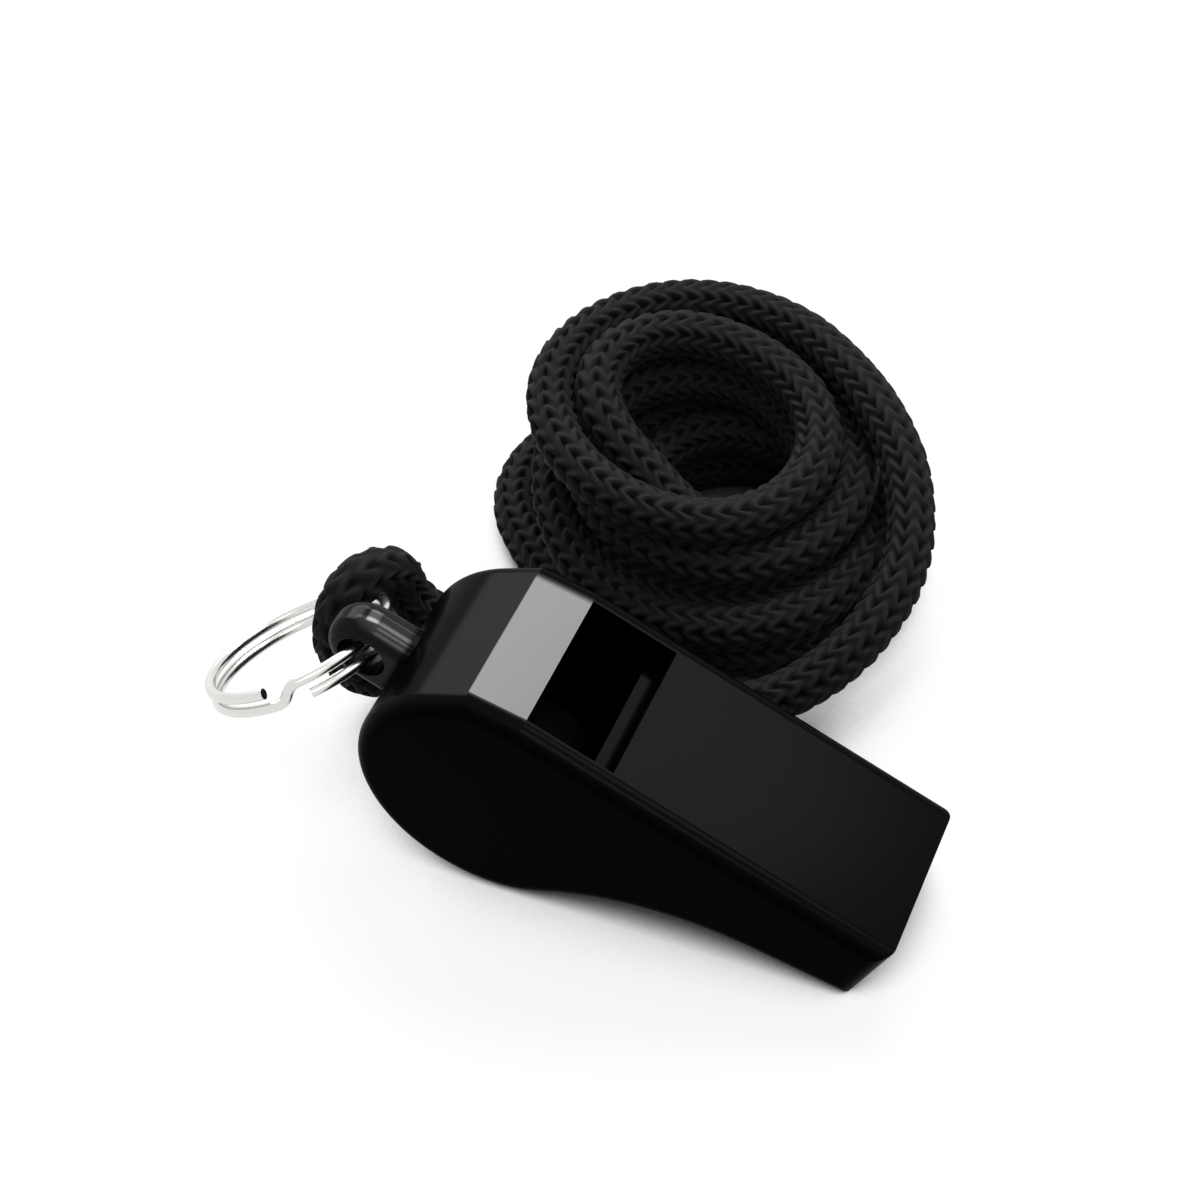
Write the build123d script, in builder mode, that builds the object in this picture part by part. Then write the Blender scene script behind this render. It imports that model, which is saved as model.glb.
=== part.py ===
"""Pea whistle with a split ring and a knitted neck lanyard, piece by piece.

Lengths are in mm. +X runs to the mouthpiece, +Y to the far side, +Z up. The
origin is on the table, under the axis of the pea chamber.
"""
import os
from math import acos, asin, atan2, cos, degrees, hypot, pi, radians, sin, sqrt, tan

from build123d import *

# Body, read in the side view: u runs to the mouth and w up, from the chamber axis.
body_width = 19.0
chamber_r = 13.4
chamber_wall = 2.0
side_wall = 1.9
tip_reach = 38.3
mouth_height = 9.0
underside_slope = radians(11.8)
throat_r = 33.0
edge_round = 1.7

# Window, blade and windway.
window_front = 8.1
window_back = -1.1
ramp_back = -6.8
ramp_drop = 1.0
blade_edge = 0.6
roof_exit = 1.1
roof_mouth = 1.6
slot_mouth = 3.2
floor_back_u = 6.4
floor_back_w = 10.5
floor_plate = 1.5
core_wall = 1.7
core_front = 36.0

# Ear at the back and the ring hole in it.
ear_u = -16.8
ear_w = -0.5
ear_r = 4.0
ear_thick = 4.4
ear_round = 1.6
ear_hole_r = 2.5

# Cover's locating lip and the pea.
lip_height = 0.8
lip_width = 1.2
lip_clear = 0.1
pea_r = 6.3
pea_clear = 0.3

# Split ring: two turns of round wire with a crank between them.
ring_wire = 1.1
ring_outer_r = 10.0
turn_gap = 0.45
ring_pitch = radians(28.0)
ring_roll = radians(-12.4)
ring_drop = 0.3
crank_at = 300.0
crank_half = 9.0
end_gap = 13.0

# Lanyard: one knitted cord, coiled on the table and draped over the ring.
cord_d = 4.6
drape_angle = radians(80.0)
drape_clear = 0.6
coil_start = radians(205.0)
coil_turn = radians(2818.0)
coil_r_out = 19.6
coil_r_in = 9.2
coil_bulge = 8.8
bulge_turn = radians(105.0)
bulge_lead = radians(16.7)
layer_pitch = 5.15
rise_turn = radians(130.0)
coil_base = (7.0, 38.9)
coil_lean = (-5.6, 3.0)
fall_turn = radians(142.0)
fall_layers = 2.9
fall_out = 6.9
fall_out_share = 0.55
fall_late_share = 0.09
table_clear = 0.1
layers = 4
steps_per_layer = 20

# Sizes that follow from the ones above.
half = body_width / 2
seam_y = -half + side_wall
inner_far = half - side_wall
bore_r = chamber_r - chamber_wall
tip_low = (tip_reach, chamber_r - mouth_height)
nose_down = asin(chamber_r / hypot(*tip_low)) + atan2(tip_low[1], tip_low[0])
ring_r = ring_outer_r - ring_wire / 2
turn_pitch = ring_wire + turn_gap
cord_r = cord_d / 2


def row_point(u, w, y=0.0):
    """Row point of a point in the whistle's side view."""
    x = u * cos(nose_down) + w * sin(nose_down)
    z = -u * sin(nose_down) + w * cos(nose_down) + chamber_r
    return (x, y, z)


def side_plane(y):
    """Side-view plane at one y; its extrusions run to the near side."""
    along = (cos(nose_down), 0, -sin(nose_down))
    return Plane(origin=(0, y, chamber_r), x_dir=along, z_dir=(0, -1, 0))


# Underside: a straight run from the tip, then a hollow arc into the chamber.
slope_u = cos(underside_slope)
slope_w = sin(underside_slope)
base_u = tip_low[0] + throat_r * slope_w
base_w = tip_low[1] - throat_r * slope_u
reach = base_u * slope_u + base_w * slope_w
run = reach - sqrt(reach**2 - base_u**2 - base_w**2 + (chamber_r + throat_r) ** 2)
throat_c = (base_u - run * slope_u, base_w - run * slope_w)
under_end = (tip_low[0] - run * slope_u, tip_low[1] - run * slope_w)
share = chamber_r / (chamber_r + throat_r)
chamber_end = (throat_c[0] * share, throat_c[1] * share)

# Back of the ramp: a flat that leaves the ramp and touches the chamber.
ramp_end = (ramp_back, chamber_r - ramp_drop)
touch = atan2(ramp_end[1], ramp_end[0]) + acos(chamber_r / hypot(*ramp_end))
back_start = (chamber_r * cos(touch), chamber_r * sin(touch))


def arc_middle(centre, radius, first, last):
    """Point of an arc halfway between two of its points, on the short side."""
    mu = (first[0] + last[0]) / 2 - centre[0]
    mw = (first[1] + last[1]) / 2 - centre[1]
    k = radius / hypot(mu, mw)
    return (centre[0] + mu * k, centre[1] + mw * k)


def side_outline():
    """Side outline of the whistle without its ear."""
    belly = (-chamber_r * cos(radians(55)), -chamber_r * sin(radians(55)))
    throat_mid = arc_middle(throat_c, throat_r, chamber_end, under_end)
    with BuildLine() as outline:
        Polyline(tip_low, (tip_reach, chamber_r), (window_back, chamber_r), ramp_end, back_start)
        ThreePointArc(back_start, belly, chamber_end)
        ThreePointArc(chamber_end, throat_mid, under_end)
        Line(under_end, tip_low)
    return outline.edges()


# Body shell: far wall, chamber, window, windway and ear in one moulding.
with BuildPart() as body_shell:
    with BuildSketch(side_plane(half)):
        make_face(side_outline())
    extrude(amount=half - seam_y)
    fillet(body_shell.faces().sort_by(Axis.Y)[-1].edges(), radius=edge_round)
    with BuildSketch(side_plane(ear_thick / 2)):
        with Locations((ear_u, ear_w)):
            Circle(ear_r)
        with Locations(((ear_u - chamber_r + 1.3) / 2, ear_w)):
            Rectangle(-ear_u - chamber_r + 1.3, 2 * ear_r)
    extrude(amount=ear_thick)
    ear_rims = []
    for e in body_shell.edges():
        mid = e.center()
        if abs(abs(mid.Y) - ear_thick / 2) < 0.01 and hypot(mid.X, mid.Z - chamber_r) > chamber_r + 1:
            ear_rims.append(e)
    fillet(ear_rims, radius=ear_round)
    with BuildSketch(side_plane(half)):
        with Locations((ear_u, ear_w)):
            Circle(ear_hole_r)
    extrude(amount=body_width, mode=Mode.SUBTRACT)
    with BuildSketch(side_plane(inner_far)):
        Circle(bore_r)
    extrude(amount=inner_far - seam_y, mode=Mode.SUBTRACT)
    with BuildSketch(side_plane(inner_far)):
        with BuildLine():
            Polyline(
                (window_back, chamber_r + 1),
                (window_front, chamber_r + 1),
                (window_front, chamber_r - roof_exit),
                (tip_reach, chamber_r - roof_mouth),
                (tip_reach + 1, chamber_r - roof_mouth),
                (tip_reach + 1, chamber_r - roof_mouth - slot_mouth),
                (tip_reach, chamber_r - roof_mouth - slot_mouth),
                (floor_back_u, floor_back_w),
                (floor_back_u, bore_r - 3),
                (ramp_back + 2, bore_r - 1.6),
                (window_back, chamber_r - blade_edge),
                close=True,
            )
        make_face()
    extrude(amount=inner_far - seam_y, mode=Mode.SUBTRACT)
    with BuildSketch(side_plane(inner_far)):
        floor_fall = (floor_back_w - chamber_r + roof_mouth + slot_mouth) / (tip_reach - floor_back_u)
        front_top = floor_back_w - floor_plate - floor_fall * (core_front - floor_back_u)
        lift_u = under_end[0] - core_wall * slope_w
        lift_w = under_end[1] + core_wall * slope_u
        with BuildLine():
            Polyline(
                (core_front, front_top),
                (floor_back_u, floor_back_w - floor_plate),
                (floor_back_u, -chamber_r),
                (core_front, -chamber_r),
                close=True,
            )
        make_face()
        Circle(chamber_r, mode=Mode.SUBTRACT)
        with Locations(throat_c):
            Circle(throat_r + core_wall, mode=Mode.SUBTRACT)
        with BuildLine():
            Polyline(
                (lift_u, lift_w),
                (tip_reach, lift_w + (tip_reach - lift_u) * tan(underside_slope)),
                (tip_reach, -chamber_r - 1),
                (lift_u, -chamber_r - 1),
                close=True,
            )
        make_face(mode=Mode.SUBTRACT)
    extrude(amount=inner_far - seam_y, mode=Mode.SUBTRACT)

# Side cover: the near wall, welded on after the pea goes in.
with BuildPart() as side_cover:
    with BuildSketch(side_plane(seam_y)):
        make_face(side_outline())
    extrude(amount=side_wall)
    fillet(side_cover.faces().sort_by(Axis.Y)[0].edges(), radius=edge_round)
    lip_out = bore_r - lip_clear
    lip_in = lip_out - lip_width
    with BuildSketch(side_plane(seam_y + lip_height)):
        with BuildLine():
            Polyline((-lip_out, 0), (-lip_in, 0))
            ThreePointArc((-lip_in, 0), (0, -lip_in), (lip_in, 0))
            Polyline((lip_in, 0), (lip_out, 0))
            ThreePointArc((lip_out, 0), (0, -lip_out), (-lip_out, 0))
        make_face()
    extrude(amount=lip_height)

# Pea: a ball lying at the bottom of the chamber.
with BuildPart() as pea:
    pea_low = bore_r - pea_r - pea_clear
    with BuildSketch(Plane(origin=(0, 0, chamber_r - pea_low), x_dir=(1, 0, 0), z_dir=(0, -1, 0))):
        with BuildLine():
            CenterArc((0, 0), pea_r, -90, 180)
            Line((0, pea_r), (0, -pea_r))
        make_face()
    revolve(axis=Axis((0, 0, chamber_r - pea_low), (0, 0, 1)))

# Frame of the split ring, which hangs in the ear's hole.
ring_e1 = Vector(cos(ring_pitch), 0, sin(ring_pitch))
ring_n = Vector(-cos(ring_roll) * sin(ring_pitch), -sin(ring_roll), cos(ring_roll) * cos(ring_pitch))
ring_e2 = ring_n.cross(ring_e1)
ear_hole = Vector(*row_point(ear_u, ear_w))
ring_c = ear_hole - Vector(0, 0, ring_drop) - ring_e1 * ring_r


def ring_point(angle, rise):
    """Point of the ring's wire line at an angle from the ear, at a height on the normal."""
    out = ring_e1 * cos(angle) + ring_e2 * sin(angle)
    return ring_c + out * ring_r + ring_n * rise


def ring_heading(angle):
    """Direction of the ring's wire at an angle from the ear."""
    return ring_e2 * cos(angle) - ring_e1 * sin(angle)


def biarc(p0, t0, p1, t1):
    """Two arcs that leave p0 along t0 and reach p1 along t1."""
    v = p1 - p0
    t = t0 + t1
    a = 2 * (1 - t0.dot(t1))
    b = v.dot(t)
    if a < 1e-6:
        d = v.dot(v) / (2 * b)
    else:
        d = (-b + sqrt(b * b + a * v.dot(v))) / a
    first = p0 + t0 * d
    last = p1 - t1 * d
    middle = (first + last) * 0.5
    TangentArc(p0, middle, tangent=t0)
    TangentArc(middle, p1, tangent=last - first)


# Split ring: lower turn, crank, upper turn.
with BuildPart() as split_ring:
    low_start = radians(crank_at - 360 + end_gap)
    low_end = radians(crank_at - crank_half)
    high_start = radians(crank_at + crank_half)
    high_end = radians(crank_at + 360 - end_gap)
    with BuildLine() as ring_line:
        for k in range(4):
            a0 = low_start + (low_end - low_start) * k / 4
            a1 = low_start + (low_end - low_start) * (k + 1) / 4
            am = (a0 + a1) / 2
            arc = [ring_point(a, -turn_pitch / 2) for a in (a0, am, a1)]
            ThreePointArc(*arc)
        biarc(
            ring_point(low_end, -turn_pitch / 2),
            ring_heading(low_end),
            ring_point(high_start, turn_pitch / 2),
            ring_heading(high_start),
        )
        for k in range(4):
            a0 = high_start + (high_end - high_start) * k / 4
            a1 = high_start + (high_end - high_start) * (k + 1) / 4
            am = (a0 + a1) / 2
            arc = [ring_point(a, turn_pitch / 2) for a in (a0, am, a1)]
            ThreePointArc(*arc)
    with BuildSketch(Plane(origin=ring_line.line @ 0, z_dir=ring_line.line % 0)):
        Circle(ring_wire / 2)
    sweep(path=ring_line.line)


def ease(share):
    """Smooth step from 0 to 1."""
    s = min(max(share, 0.0), 1.0)
    return s * s * (3 - 2 * s)


def coil_point(a):
    """Point of the coil's line after turning by an angle from its start."""
    per_layer = coil_turn / layers
    k = min(int(a / per_layer), layers - 1)
    f = a / per_layer - k
    inward = f if k % 2 == 0 else 1 - f
    r = coil_r_out + (coil_r_in - coil_r_out) * inward
    bulge = (a + bulge_lead) / bulge_turn
    if bulge < 1:
        r += coil_bulge * (1 - cos(2 * pi * bulge)) / 2
    level = sum(ease((a - j * per_layer) / rise_turn + 0.5) for j in range(1, layers))
    fall = 1 - (coil_turn - a) / fall_turn
    r += fall_out * ease(fall / fall_out_share)
    level -= fall_layers * ease((fall - fall_late_share) / (1 - fall_late_share))
    lean = level / (layers - 1)
    x = coil_base[0] + coil_lean[0] * lean + r * cos(coil_start - a)
    y = coil_base[1] + coil_lean[1] * lean + r * sin(coil_start - a)
    return Vector(x, y, cord_r + table_clear + layer_pitch * level)


def coil_heading(a):
    """Direction of the coil's line after turning by an angle from its start."""
    low = max(a - 0.01, 0.0)
    high = min(a + 0.01, coil_turn)
    return (coil_point(high) - coil_point(low)).normalized()


# Lanyard coil: four layers, in and out by turns. The last turn slides down outside.
with BuildPart() as lanyard_coil:
    count = layers * steps_per_layer
    turns = [coil_turn * k / count for k in range(count + 1)]
    head_in = coil_heading(0.0)
    head_out = coil_heading(coil_turn)
    coil_in = coil_point(0.0) - head_in * cord_d
    coil_out = coil_point(coil_turn) + head_out * cord_d
    with BuildLine() as coil_line:
        Line(coil_in, coil_point(0.0))
        for a0, a1 in zip(turns, turns[1:]):
            biarc(coil_point(a0), coil_heading(a0), coil_point(a1), coil_heading(a1))
        Line(coil_point(coil_turn), coil_out)
    with BuildSketch(Plane(origin=coil_line.line @ 0, z_dir=coil_line.line % 0)):
        Circle(cord_r)
    sweep(path=coil_line.line)

# Lanyard loop: from the coil's last turn up over the ring's wire and down to its first.
drape_r = ring_wire + turn_gap / 2 + cord_r + drape_clear
drape_at = ring_point(drape_angle, 0.0)
drape_dir = ring_heading(drape_angle).cross(Vector(0, 0, 1)).normalized()
arch_out = drape_at + drape_dir * drape_r + Vector(0, 0, drape_r)
arch_in = drape_at - drape_dir * drape_r + Vector(0, 0, drape_r)
loop_points = [
    coil_out,
    coil_out + head_out * 3.0,
    Vector(-7.0, 12.8, 6.2),
    Vector(-14.3, 12.9, 10.0),
    arch_out,
    arch_in,
    Vector(arch_in.X + 0.2, arch_in.Y + 0.2, 6.2),
    Vector(-17.0, 12.4, cord_r + table_clear),
    Vector(-5.9, 16.6, cord_r + table_clear),
    coil_in - head_in * 4.7,
    coil_in,
]
with BuildPart() as lanyard_loop:
    legs = [q - p for p, q in zip(loop_points, loop_points[1:])]
    room = [0.47 * leg.length for leg in legs]
    room[0] = 0.95 * legs[0].length
    room[-1] = 0.95 * legs[-1].length
    bends = []
    for k in range(len(legs) - 1):
        turn = acos(legs[k].normalized().dot(legs[k + 1].normalized()))
        bends.append(min(room[k], room[k + 1]) / tan(turn / 2))
    with BuildLine() as loop_line:
        FilletPolyline(*loop_points, radius=bends)
    with BuildSketch(Plane(origin=loop_line.line @ 0, z_dir=loop_line.line % 0)):
        Circle(cord_r)
    sweep(path=loop_line.line)


# Least gap of a wound tube to itself, from points on its line.
def least_gap(line, thick, count):
    """Least gap between stretches over three thicknesses apart along a line."""
    points = [line @ (k / count) for k in range(count + 1)]
    skip = int(4 * thick / line.length * count) + 1
    near = min((points[i] - points[j]).length for i in range(count + 1) for j in range(i + skip, count + 1))
    return near - thick


print("nose down", round(degrees(nose_down), 2), "deg; belly", round(chamber_r, 2))
print("loop bends", [round(b, 1) for b in bends])
print("loop points", [tuple(round(c, 2) for c in p) for p in loop_points])
print("coil gap", round(least_gap(coil_line.wire(), cord_d, 900), 3), "length", round(coil_line.wire().length, 1))
print("ring gap", round(least_gap(ring_line.wire(), ring_wire, 400), 3), "length", round(ring_line.wire().length, 1))
print("loop length", round(loop_line.wire().length, 1))
for name, solid, line in (("coil", lanyard_coil, coil_line), ("loop", lanyard_loop, loop_line)):
    print(name, "volume to section x length", round(solid.part.volume / (pi * cord_r**2 * line.wire().length), 4))

# Hand the pieces over, one STEP file each.
os.makedirs("parts", exist_ok=True)
body_shell.part.label = "body_shell"
side_cover.part.label = "side_cover"
pea.part.label = "pea"
split_ring.part.label = "split_ring"
lanyard_coil.part.label = "lanyard_coil"
lanyard_loop.part.label = "lanyard_loop"
export_step(body_shell.part, "parts/body_shell.step")
export_step(side_cover.part, "parts/side_cover.step")
export_step(pea.part, "parts/pea.step")
export_step(split_ring.part, "parts/split_ring.step")
export_step(lanyard_coil.part, "parts/lanyard_coil.step")
export_step(lanyard_loop.part, "parts/lanyard_loop.step")
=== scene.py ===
from math import atan2, cos, exp, pi, radians, sin

import bmesh
import bpy
from mathutils import Matrix, Quaternion, Vector, noise


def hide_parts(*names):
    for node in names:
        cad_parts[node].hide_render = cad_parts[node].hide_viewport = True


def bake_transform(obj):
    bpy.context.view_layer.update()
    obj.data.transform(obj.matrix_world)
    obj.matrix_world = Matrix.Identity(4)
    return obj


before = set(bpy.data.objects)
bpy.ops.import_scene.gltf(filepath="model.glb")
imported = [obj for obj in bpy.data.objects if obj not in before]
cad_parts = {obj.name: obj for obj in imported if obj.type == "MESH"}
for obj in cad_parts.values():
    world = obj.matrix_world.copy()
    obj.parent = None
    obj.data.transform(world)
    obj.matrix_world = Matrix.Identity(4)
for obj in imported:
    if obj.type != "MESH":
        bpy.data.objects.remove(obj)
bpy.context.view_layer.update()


# Camera. It stands close over the near side, a little past the mouthpiece,
# and looks down at the chamber with a slight tilt.
MM = 0.001
CAMERA_PLACE = Vector((78.845, -133.842, 200.937)) * MM
CAMERA_AZIMUTH = radians(27.32)
CAMERA_ELEVATION = radians(47.65)
CAMERA_ROLL = radians(-5.67)
CAMERA_SENSOR = 36.0
CAMERA_LENS = 76.29

camera_data = bpy.data.cameras.new("camera")
camera_data.sensor_width = CAMERA_SENSOR
camera_data.lens = CAMERA_LENS
camera_data.clip_start = 0.01
camera = bpy.data.objects.new("camera", camera_data)
camera_turn = (
    Matrix.Rotation(CAMERA_AZIMUTH, 4, "Z")
    @ Matrix.Rotation(pi / 2 - CAMERA_ELEVATION, 4, "X")
    @ Matrix.Rotation(CAMERA_ROLL, 4, "Z")
)
camera.matrix_world = Matrix.Translation(CAMERA_PLACE) @ camera_turn
bpy.context.scene.collection.objects.link(camera)
bpy.context.scene.camera = camera
bpy.context.scene.view_settings.view_transform = "Standard"


# Lanyard. One black polyester cord, knitted round in seven columns of loops and
# sewn end to end, hung over the ring's wire and wound in four loose layers.
CORD_THICK = 4.6 * MM
CORD_WALES = 7
STITCH_LONG = 1.9 * MM
STITCH_LEAN = 1.5 * MM
STITCH_RELIEF = 0.62 * MM
LEG_VERTS = 3
STITCH_RINGS = 5
LEG_RISE = 0.8
LEG_SWELL = 0.2
NOTCH_DEEP = 0.15
NOTCH_WIDE = 0.12
PIT_DEEP = 1.2
PIT_WIDE = 0.15
PIT_LONG = 0.26
PIT_FLOOR = -0.4
YARN_MEAN = 0.6
YARN_UNEVEN = 0.15
CORD_UNEVEN = 0.03
CORD_UNEVEN_SCALE = 160.0

COIL_START = radians(205.0)
COIL_TURN = radians(2818.0)
COIL_R_OUT = (19.6, 18.0, 18.0, 19.6)
COIL_R_IN = 9.1
COIL_BULGE = 8.8
BULGE_TURN = radians(105.0)
BULGE_LEAD = radians(16.7)
LAYER_PITCH = 4.85
RISE_TURN = radians(130.0)
COIL_BASE = (7.0, 38.9)
COIL_LEAN = (-5.6, 3.0)
COIL_LAYERS = 4
COIL_LOW = 2.65
COIL_TILT = 2.0
TILT_TOWARD = radians(150.0)
COIL_STRETCH = 1.4
STRETCH_TOWARD = radians(-20.0)
COIL_UNEVEN = 0.4
UNEVEN_SCALE = 0.06
UNEVEN_A_TURN = 0.5
UNEVEN_APART = (0.0, 17.3, 31.7)
SAG_AT = radians(1420.0)
SAG_TURN = radians(95.0)
SAG_DOWN = 2.2
SAG_OUT = -0.7
FALL_TURN = radians(142.0)
FALL_LAYERS = 2.9
FALL_OUT = 6.9
FALL_OUT_SHARE = 0.55
FALL_LATE_SHARE = 0.09
FALL_BACK = 1.8
COIL_POINTS_A_TURN = 18


def ease(share):
    """Smooth step from 0 to 1."""
    s = min(max(share, 0.0), 1.0)
    return s * s * (3 - 2 * s)


def coil_point(a):
    """Place of the coil's line, in mm, after turning by an angle from its start."""
    toward = COIL_START - a
    per_layer = COIL_TURN / COIL_LAYERS
    k = min(int(a / per_layer), COIL_LAYERS - 1)
    f = a / per_layer - k
    inward = f if k % 2 == 0 else 1 - f
    rises = range(1, COIL_LAYERS)
    level = sum(ease((a - j * per_layer) / RISE_TURN + 0.5) for j in rises)
    r = COIL_R_OUT[k] + (COIL_R_IN - COIL_R_OUT[k]) * inward
    stretch = COIL_STRETCH * inward * level / (COIL_LAYERS - 1)
    r += stretch * cos(2 * (toward - STRETCH_TOWARD))
    bulge = (a + BULGE_LEAD) / BULGE_TURN
    if bulge < 1:
        r += COIL_BULGE * (1 - cos(2 * pi * bulge)) / 2
    sag = cos(pi / 2 * min(abs(a - SAG_AT) / SAG_TURN, 1.0)) ** 2
    r += SAG_OUT * sag
    fall = 1 - (COIL_TURN - a) / FALL_TURN
    r += FALL_OUT * ease(fall / FALL_OUT_SHARE) - FALL_BACK * ease(2.5 * fall - 1.5)
    level -= FALL_LAYERS * ease((fall - FALL_LATE_SHARE) / (1 - FALL_LATE_SHARE))
    lean = level / (COIL_LAYERS - 1)
    x = COIL_BASE[0] + COIL_LEAN[0] * lean + r * cos(toward)
    y = COIL_BASE[1] + COIL_LEAN[1] * lean + r * sin(toward)
    tilt = COIL_TILT * lean * cos(toward - TILT_TOWARD)
    z = COIL_LOW + LAYER_PITCH * level + tilt - SAG_DOWN * sag
    spot = Vector((x * UNEVEN_SCALE, y * UNEVEN_SCALE, a * UNEVEN_A_TURN))
    apart = [spot + Vector((k, 0.0, 0.0)) for k in UNEVEN_APART]
    uneven = Vector([noise.noise(p) for p in apart]) * COIL_UNEVEN
    uneven.z = abs(uneven.z)
    return Vector((x, y, z)) + uneven


coil_count = round(COIL_TURN / (2 * pi) * COIL_POINTS_A_TURN)
coil_route = [coil_point(COIL_TURN * k / coil_count) for k in range(coil_count + 1)]
join = Vector((-22.6, 5.0, 12.2))
cord_route = (
    [
        join,
        Vector((-22.4, 5.4, 6.2)),
        Vector((-17.0, 12.4, 2.65)),
        Vector((-5.9, 16.6, 2.65)),
        Vector((-5.1, 24.26, 2.65)),
    ]
    + coil_route
    + [
        Vector((-2.2, 12.75, 3.1)),
        Vector((-7.0, 12.8, 6.2)),
        Vector((-12.5, 12.95, 8.8)),
        Vector((-16.8, 13.0, 10.3)),
        Vector((-19.0, 13.0, 12.8)),
        Vector((-19.3, 12.7, 16.2)),
        Vector((-20.9, 9.0, 18.8)),
        Vector((-22.5, 5.2, 16.2)),
        join,
    ]
)
cord_curve = bpy.data.curves.new("lanyard_line", "CURVE")
cord_curve.dimensions = "3D"
cord_curve.resolution_u = 8
cord_spline = cord_curve.splines.new("NURBS")
cord_spline.points.add(len(cord_route) - 1)
for point, place in zip(cord_spline.points, cord_route):
    point.co = (*(place * MM), 1.0)
cord_spline.order_u = 3
cord_spline.use_endpoint_u = True
cord_line = bpy.data.objects.new("lanyard_line", cord_curve)
bpy.context.scene.collection.objects.link(cord_line)
line_mesh = bpy.data.meshes.new_from_object(cord_line)
cord_path = [v.co.copy() for v in line_mesh.vertices]
bpy.data.objects.remove(cord_line)
bpy.data.meshes.remove(line_mesh)


def path_frames(path, count):
    """Places, headings and sideways directions at even steps of a closed path."""
    lengths = [0.0]
    for p, q in zip(path, path[1:]):
        lengths.append(lengths[-1] + (q - p).length)
    total = lengths[-1]
    places = []
    i = 0
    for k in range(count):
        at = total * k / count
        while lengths[i + 1] < at:
            i += 1
        share = (at - lengths[i]) / (lengths[i + 1] - lengths[i])
        places.append(path[i].lerp(path[i + 1], share))
    heads = [(places[(k + 1) % count] - places[k - 1]).normalized() for k in range(count)]
    side = heads[0].orthogonal().normalized()
    sides = [side]
    for p, q in zip(heads, heads[1:] + heads[:1]):
        side = p.rotation_difference(q) @ side
        sides.append(side)
    last = sides.pop()
    drift = atan2(heads[0].dot(last.cross(sides[0])), last.dot(sides[0]))
    sides = [
        Quaternion(heads[k], drift * k / count) @ sides[k]
        for k in range(count)
    ]
    return places, heads, sides, total


def knit_tube(name, path):
    """Closed tube whose skin is columns of V-shaped loops, mapped from a grid."""
    length = sum((q - p).length for p, q in zip(path, path[1:]))
    stitches = round(length / STITCH_LONG)
    rings = stitches * STITCH_RINGS
    around = 2 * CORD_WALES * LEG_VERTS
    places, heads, sides, total = path_frames(path, rings)
    tube = bmesh.new()
    bmesh.ops.create_grid(
        tube, x_segments=around, y_segments=rings, size=0.5, calc_uvs=True
    )
    height = tube.verts.layers.float.new("yarn_height")
    for v in tube.verts:
        i = round((v.co.x + 0.5) * around) % around
        j = round((v.co.y + 0.5) * rings) % rings
        wale_at = i % (2 * LEG_VERTS)
        slope = abs(wale_at - LEG_VERTS) / LEG_VERTS
        along = (j % STITCH_RINGS) / STITCH_RINGS
        across = (1 - slope) / 2
        leg = LEG_RISE - LEG_SWELL * cos(2 * pi * along)
        notch = NOTCH_DEEP * exp(-(((0.5 - across) / NOTCH_WIDE) ** 2))
        pit = exp(-((across / PIT_WIDE) ** 2) - (min(along, 1 - along) / PIT_LONG) ** 2)
        lift = max(leg - notch - PIT_DEEP * pit, PIT_FLOOR)
        lift *= 1.0 + YARN_UNEVEN * noise.noise(Vector((i * 0.7, j * 0.45, 3.0)))
        v[height] = lift
        radius = CORD_THICK / 2 + STITCH_RELIEF * (lift - YARN_MEAN)
        radius *= 1.0 + CORD_UNEVEN * noise.noise(places[j] * CORD_UNEVEN_SCALE)
        out = Quaternion(heads[j], 2 * pi * i / around) @ sides[j]
        v.co = places[j] + out * radius + heads[j] * (STITCH_LEAN * slope)
    bmesh.ops.remove_doubles(tube, verts=tube.verts, dist=1e-6)
    bmesh.ops.recalc_face_normals(tube, faces=tube.faces)
    for face in tube.faces:
        face.smooth = True
    mesh = bpy.data.meshes.new(name)
    tube.to_mesh(mesh)
    tube.free()
    piece = bpy.data.objects.new(name, mesh)
    bpy.context.scene.collection.objects.link(piece)
    return piece, total


lanyard, lanyard_long = knit_tube("lanyard", cord_path)


def fine_grain(name, fine, coarse):
    """Node group: a fine bump height and a slow patchiness, from a position."""
    group = bpy.data.node_groups.new(name, "ShaderNodeTree")
    group.interface.new_socket("Position", in_out="INPUT", socket_type="NodeSocketVector")
    group.interface.new_socket("Height", in_out="OUTPUT", socket_type="NodeSocketFloat")
    group.interface.new_socket("Patch", in_out="OUTPUT", socket_type="NodeSocketFloat")
    entry = group.nodes.new("NodeGroupInput")
    leave = group.nodes.new("NodeGroupOutput")
    for socket, scale in (("Height", fine), ("Patch", coarse)):
        speck = group.nodes.new("ShaderNodeTexNoise")
        speck.inputs["Scale"].default_value = scale
        speck.inputs["Detail"].default_value = 3.0
        group.links.new(entry.outputs["Position"], speck.inputs["Vector"])
        group.links.new(speck.outputs["Fac"], leave.inputs[socket])
    return group


GRAIN_FINE = 3200.0
GRAIN_COARSE = 90.0
GRAIN_DEEP = 0.05 * MM
grain = fine_grain("fine_grain", GRAIN_FINE, GRAIN_COARSE)


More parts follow.
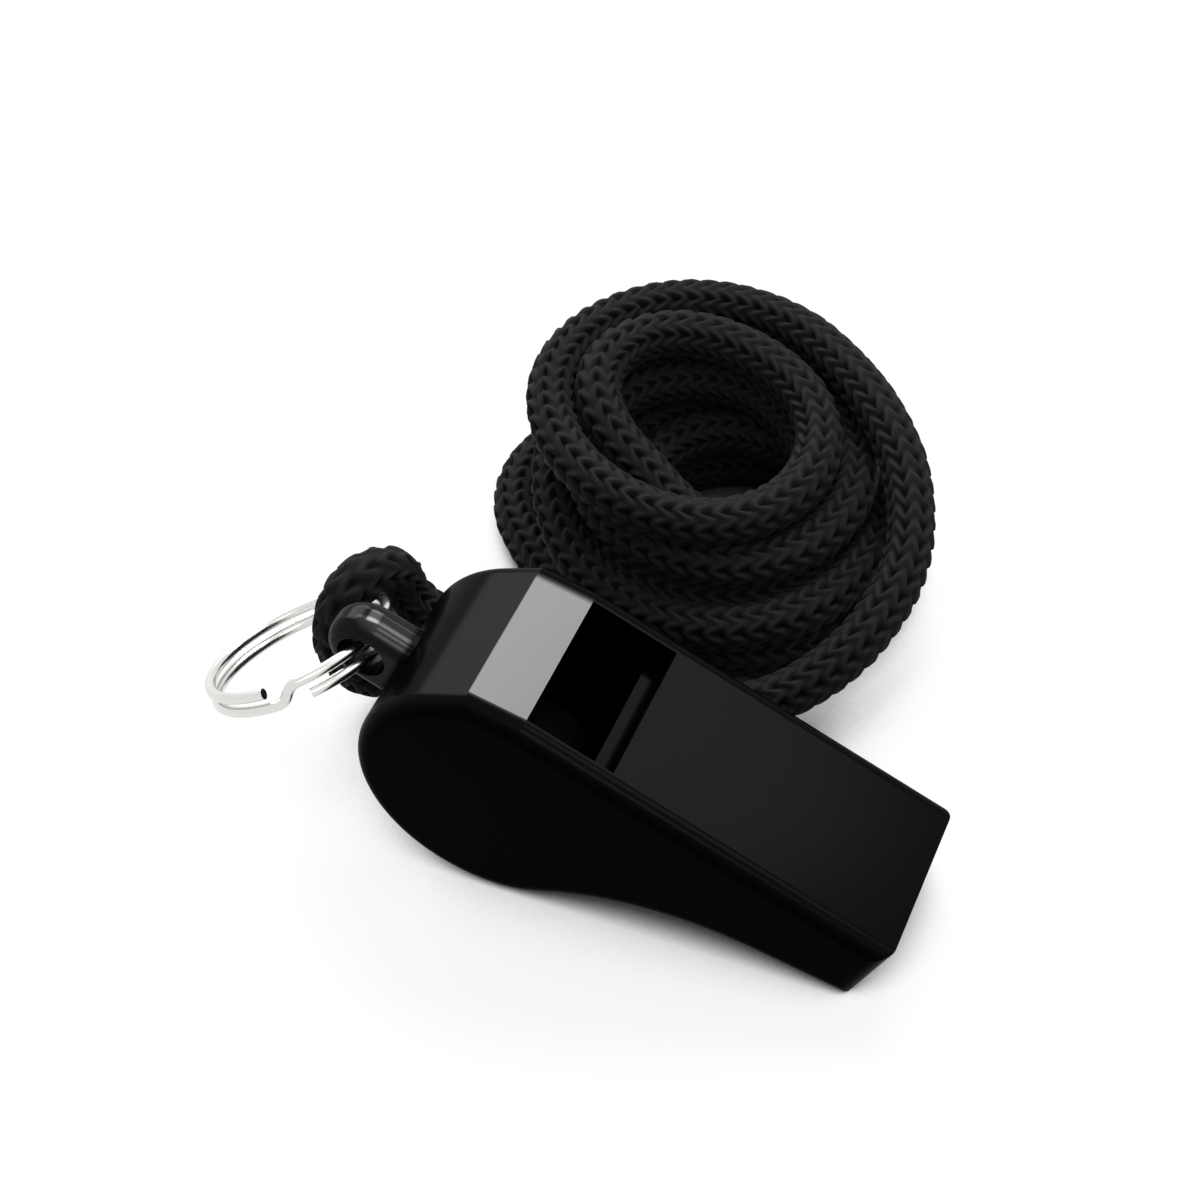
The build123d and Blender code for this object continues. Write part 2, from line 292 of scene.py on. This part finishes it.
def grain_skin(material, bump, rough_low, rough_high, place):
    """Give a material's skin the fine grain as bump and roughness."""
    tree = material.node_tree
    skin = tree.nodes["Principled BSDF"]
    part = tree.nodes.new("ShaderNodeGroup")
    part.node_tree = grain
    tree.links.new(place, part.inputs["Position"])
    rise = tree.nodes.new("ShaderNodeBump")
    rise.inputs["Strength"].default_value = bump
    rise.inputs["Distance"].default_value = GRAIN_DEEP
    tree.links.new(part.outputs["Height"], rise.inputs["Height"])
    tree.links.new(rise.outputs["Normal"], skin.inputs["Normal"])
    rough = tree.nodes.new("ShaderNodeMapRange")
    rough.inputs["To Min"].default_value = rough_low
    rough.inputs["To Max"].default_value = rough_high
    tree.links.new(part.outputs["Patch"], rough.inputs["Value"])
    tree.links.new(rough.outputs["Result"], skin.inputs["Roughness"])


# The near-black at the bottom of the ramp is painted shade in the pits of the knit; the
# yarn itself is the crest colour.
PIT_PAINTED_SHADE = (0.0002, 0.0002, 0.0002, 1.0)
YARN_BLACK = (0.0148, 0.0148, 0.0152, 1.0)

knit = bpy.data.materials.new("black_knit")
knit.use_nodes = True
tree = knit.node_tree
skin = tree.nodes["Principled BSDF"]
skin.inputs["Specular IOR Level"].default_value = 0.07
skin.inputs["Sheen Weight"].default_value = 0.02
skin.inputs["Sheen Roughness"].default_value = 0.4
# The yarn's height darkens its colour from the crests down into the pits: painted shade
# in the knit's hollows.
yarn = tree.nodes.new("ShaderNodeAttribute")
yarn.attribute_name = "yarn_height"
shade = tree.nodes.new("ShaderNodeValToRGB")
shade.color_ramp.elements[0].position = 0.1
shade.color_ramp.elements[0].color = PIT_PAINTED_SHADE
shade.color_ramp.elements[1].position = 0.8
shade.color_ramp.elements[1].color = YARN_BLACK
tree.links.new(yarn.outputs["Fac"], shade.inputs["Fac"])
tree.links.new(shade.outputs["Color"], skin.inputs["Base Color"])
where = tree.nodes.new("ShaderNodeTexCoord")
grain_skin(knit, 0.6, 0.6, 0.8, where.outputs["Object"])
lanyard.data.materials.append(knit)

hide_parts("lanyard_loop", "lanyard_coil")
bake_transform(lanyard)


# Whistle body. Shell and cover are moulded in black ABS with a fine satin skin.
# The cover is welded on. The mould is polished at the ramp and on the ear's top.
# Each pair of limits below is where a gloss starts and where it is full.
NOSE_DOWN = radians(26.89)
CHAMBER_R = 13.4 * MM
PLASTIC_BLACK = (0.0008, 0.0008, 0.0009, 1.0)
FLAT_SIDES = (9.45 * MM, 8.6 * MM)
RAMP_BACK = (-6.9 * MM, -6.8 * MM)
RAMP_FRONT = (-0.75 * MM, -0.85 * MM)
RAMP_NEAR = (-7.62 * MM, -7.58 * MM)
RAMP_FAR = (7.7 * MM, 7.1 * MM)
RAMP_LOW = (12.18 * MM, 12.22 * MM)
EAR_ROOT = (-13.3 * MM, -13.9 * MM)
EAR_SIDES = (2.35 * MM, 1.2 * MM)
EAR_LOW = (2.4 * MM, 3.4 * MM)
NEAR_BAR = (-0.05 * MM, -0.35 * MM)
FAR_BAR = (0.35 * MM, 0.6 * MM)
SATIN_GLOSS = 0.08
RAMP_GLOSS = 0.66
EAR_GLOSS = 0.2
NEAR_BAR_GLOSS = 1.0
FAR_BAR_GLOSS = 0.5

plastic = bpy.data.materials.new("black_satin_plastic")
plastic.use_nodes = True
tree = plastic.node_tree
skin = tree.nodes["Principled BSDF"]
skin.inputs["Base Color"].default_value = PLASTIC_BLACK
skin.inputs["Specular IOR Level"].default_value = 0.004
skin.inputs["Coat Roughness"].default_value = 0.16
skin.inputs["Coat IOR"].default_value = 1.5
where = tree.nodes.new("ShaderNodeTexCoord")
grain_skin(plastic, 0.25, 0.3, 0.44, where.outputs["Object"])


def step(tree, value, start, end):
    """Mask that runs from 0 to 1 as a value goes from one limit to another."""
    ramp = tree.nodes.new("ShaderNodeMapRange")
    ramp.inputs["From Min"].default_value = start
    ramp.inputs["From Max"].default_value = end
    tree.links.new(value, ramp.inputs["Value"])
    return ramp.outputs["Result"]


def combine(tree, operation, first, *others):
    """Sockets joined one after another by a Math operation."""
    for other in others:
        math = tree.nodes.new("ShaderNodeMath")
        math.operation = operation
        tree.links.new(first, math.inputs[0])
        tree.links.new(other, math.inputs[1])
        first = math.outputs[0]
    return first


level_view = tree.nodes.new("ShaderNodeMapping")
level_view.vector_type = "TEXTURE"
level_view.inputs["Location"].default_value = (0.0, 0.0, CHAMBER_R)
level_view.inputs["Rotation"].default_value = (0.0, NOSE_DOWN, 0.0)
tree.links.new(where.outputs["Object"], level_view.inputs["Vector"])
axes = tree.nodes.new("ShaderNodeSeparateXYZ")
tree.links.new(level_view.outputs["Vector"], axes.inputs["Vector"])
sideways = tree.nodes.new("ShaderNodeMath")
sideways.operation = "ABSOLUTE"
tree.links.new(axes.outputs["Y"], sideways.inputs[0])
off_side = step(tree, sideways.outputs[0], *FLAT_SIDES)

ramp_face = combine(
    tree,
    "MULTIPLY",
    step(tree, axes.outputs["X"], *RAMP_BACK),
    step(tree, axes.outputs["X"], *RAMP_FRONT),
    step(tree, axes.outputs["Y"], *RAMP_NEAR),
    step(tree, axes.outputs["Y"], *RAMP_FAR),
    step(tree, axes.outputs["Z"], *RAMP_LOW),
)
ear = step(tree, axes.outputs["X"], *EAR_ROOT)
ear_top = combine(
    tree,
    "MULTIPLY",
    ear,
    step(tree, sideways.outputs[0], *EAR_SIDES),
    step(tree, axes.outputs["Z"], *EAR_LOW),
)
near_side = step(tree, axes.outputs["Y"], *NEAR_BAR)
far_side = step(tree, axes.outputs["Y"], *FAR_BAR)
near_bar = combine(tree, "MULTIPLY", ear_top, near_side)
far_bar = combine(tree, "MULTIPLY", ear_top, far_side)
coats = []
for mask, weight in (
    (off_side, SATIN_GLOSS),
    (ramp_face, RAMP_GLOSS),
    (ear, EAR_GLOSS),
    (near_bar, NEAR_BAR_GLOSS),
    (far_bar, FAR_BAR_GLOSS),
):
    coat = tree.nodes.new("ShaderNodeMath")
    coat.operation = "MULTIPLY"
    coat.inputs[1].default_value = weight
    tree.links.new(mask, coat.inputs[0])
    coats.append(coat.outputs[0])
tree.links.new(combine(tree, "MAXIMUM", *coats), skin.inputs["Coat Weight"])
for node in ("body_shell", "side_cover"):
    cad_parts[node].data.materials.clear()
    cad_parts[node].data.materials.append(plastic)


# Pea. A hollow ball moulded in dull black plastic. It is shut in when the cover
# is welded on, and rolls round loose inside the chamber.
BALL_BLACK = (0.004, 0.004, 0.0035, 1.0)

ball = bpy.data.materials.new("dull_black_ball")
ball.use_nodes = True
tree = ball.node_tree
skin = tree.nodes["Principled BSDF"]
skin.inputs["Base Color"].default_value = BALL_BLACK
skin.inputs["Specular IOR Level"].default_value = 0.05
where = tree.nodes.new("ShaderNodeTexCoord")
grain_skin(ball, 0.8, 0.6, 0.85, where.outputs["Object"])
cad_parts["pea"].data.materials.clear()
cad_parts["pea"].data.materials.append(ball)


# Split ring. Two turns of nickel-plated spring wire with a crank between them,
# wound into the hole of the ear.
NICKEL_BRIGHT = (0.72, 0.71, 0.69, 1.0)

nickel = bpy.data.materials.new("bright_nickel")
nickel.use_nodes = True
tree = nickel.node_tree
skin = tree.nodes["Principled BSDF"]
skin.inputs["Base Color"].default_value = NICKEL_BRIGHT
skin.inputs["Metallic"].default_value = 1.0
where = tree.nodes.new("ShaderNodeTexCoord")
grain_skin(nickel, 0.15, 0.12, 0.3, where.outputs["Object"])
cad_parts["split_ring"].data.materials.clear()
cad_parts["split_ring"].data.materials.append(nickel)


# Table and studio light. A pale table under five soft boxes, the strongest two
# behind the whistle, where its ramp and its back mirror them.
TABLE_HALF = 2.0
TABLE_GREY = (0.15, 0.15, 0.15, 1.0)
TABLE_GLOW = 0.87
WHITE = (1.0, 1.0, 1.0, 1.0)
SHADE_REACH = 30.0 * MM
SHADE_FROM = 0.3
SHADE_TO = 0.55
WORLD_LIGHT = 0.3
LAMP_AIM = Vector((0.0, 0.0, 15.0)) * MM

floor_mesh = bmesh.new()
bmesh.ops.create_grid(floor_mesh, x_segments=1, y_segments=1, size=TABLE_HALF)
floor_data = bpy.data.meshes.new("floor")
floor_mesh.to_mesh(floor_data)
floor_mesh.free()
floor = bpy.data.objects.new("floor", floor_data)
bpy.context.scene.collection.objects.link(floor)


def seen_ray(tree):
    """Value that is 1 for camera, mirror and glass rays."""
    path = tree.nodes.new("ShaderNodeLightPath")
    glossy = tree.nodes.new("ShaderNodeMath")
    glossy.operation = "MAXIMUM"
    tree.links.new(path.outputs["Is Camera Ray"], glossy.inputs[0])
    tree.links.new(path.outputs["Is Glossy Ray"], glossy.inputs[1])
    seen = tree.nodes.new("ShaderNodeMath")
    seen.operation = "MAXIMUM"
    tree.links.new(glossy.outputs[0], seen.inputs[0])
    tree.links.new(path.outputs["Is Transmission Ray"], seen.inputs[1])
    return seen.outputs[0]


table = bpy.data.materials.new("pale_table")
table.use_nodes = True
tree = table.node_tree
skin = tree.nodes["Principled BSDF"]
skin.inputs["Base Color"].default_value = TABLE_GREY
skin.inputs["Roughness"].default_value = 1.0
skin.inputs["Specular IOR Level"].default_value = 0.0
skin.inputs["Emission Color"].default_value = WHITE
# The table glows white for the rays that see it. Ambient occlusion dims that glow where
# the table is closed in, as in the coil's hole and between strands: painted shade.
closed_in = tree.nodes.new("ShaderNodeAmbientOcclusion")
closed_in.samples = 12
closed_in.inputs["Distance"].default_value = SHADE_REACH
glow = tree.nodes.new("ShaderNodeMapRange")
glow.inputs["From Min"].default_value = SHADE_FROM
glow.inputs["From Max"].default_value = SHADE_TO
glow.inputs["To Max"].default_value = TABLE_GLOW
tree.links.new(closed_in.outputs["AO"], glow.inputs["Value"])
shine = combine(tree, "MULTIPLY", glow.outputs["Result"], seen_ray(tree))
tree.links.new(shine, skin.inputs["Emission Strength"])
floor.data.materials.append(table)

world = bpy.data.worlds.new("studio")
world.use_nodes = True
tree = world.node_tree
sky = tree.nodes["Background"]
sky.inputs["Color"].default_value = WHITE
level = tree.nodes.new("ShaderNodeMapRange")
level.inputs["To Min"].default_value = WORLD_LIGHT
level.inputs["To Max"].default_value = 1.0
tree.links.new(seen_ray(tree), level.inputs["Value"])
tree.links.new(level.outputs[0], sky.inputs["Strength"])
bpy.context.scene.world = world


def soft_box(name, toward, distance, width, height, power):
    """Rectangular lamp in a direction from the chamber, in metres and watts."""
    lamp = bpy.data.lights.new(name, "AREA")
    lamp.shape = "RECTANGLE"
    lamp.size = width
    lamp.size_y = height
    lamp.energy = power
    box = bpy.data.objects.new(name, lamp)
    aim = Vector(toward).normalized()
    turn = aim.to_track_quat("Z", "Y").to_matrix().to_4x4()
    box.matrix_world = Matrix.Translation(LAMP_AIM + aim * distance) @ turn
    bpy.context.scene.collection.objects.link(box)


for lamp_row in (
    ("back_box", (-0.02, 0.57, 0.82), 0.7, 0.32, 0.22, 2.9),
    ("mouth_box", (0.42, 0.57, 0.71), 0.7, 0.2, 0.2, 0.5),
    ("left_box", (-0.64, 0.58, 0.48), 0.8, 0.45, 0.45, 3.2),
    ("over_box", (0.5, 0.12, 0.86), 0.7, 0.22, 0.3, 0.45),
    ("front_box", (0.38, -0.55, 0.74), 0.8, 0.32, 0.26, 0.65),
):
    soft_box(*lamp_row)
